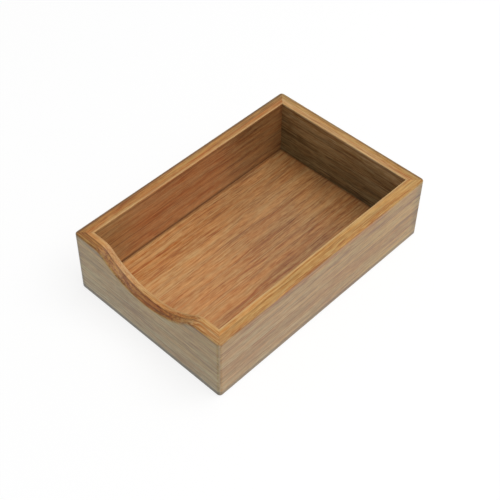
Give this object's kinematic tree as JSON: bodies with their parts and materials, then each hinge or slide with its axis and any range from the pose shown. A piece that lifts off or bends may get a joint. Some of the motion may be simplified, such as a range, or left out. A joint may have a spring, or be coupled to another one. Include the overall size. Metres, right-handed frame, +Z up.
{
  "type": "drawer organizer tray",
  "caption": "Open rectangular bamboo drawer organizer tray with laminated mitred walls, a recessed bottom panel and a curved finger scoop in the front wall.",
  "frame": {"origin": "on the table under the middle of the tray's outer rectangle", "axes": "+X to the right and +Y to the back for someone facing the scooped front wall, +Z up"},
  "size_m": [0.1524, 0.2286, 0.0605],
  "materials": {
    "bamboo_outer_ply": "satin lacquer over caramel bamboo",
    "bamboo_inner_ply": "satin lacquer over caramel bamboo",
    "bamboo_panel": "satin lacquer over caramel bamboo",
    "bamboo_spline": "raw bamboo"
  },
  "bodies": {
    "root": {"front_wall_outer_ply": "bamboo_outer_ply", "front_wall_inner_ply": "bamboo_inner_ply", "right_wall_outer_ply": "bamboo_outer_ply", "right_wall_inner_ply": "bamboo_inner_ply", "back_wall_outer_ply": "bamboo_outer_ply", "back_wall_inner_ply": "bamboo_inner_ply", "left_wall_outer_ply": "bamboo_outer_ply", "left_wall_inner_ply": "bamboo_inner_ply", "bottom_panel": "bamboo_panel", "front_left_spline": "bamboo_spline", "front_right_spline": "bamboo_spline", "back_left_spline": "bamboo_spline", "back_right_spline": "bamboo_spline"}
  },
  "joints": []
}
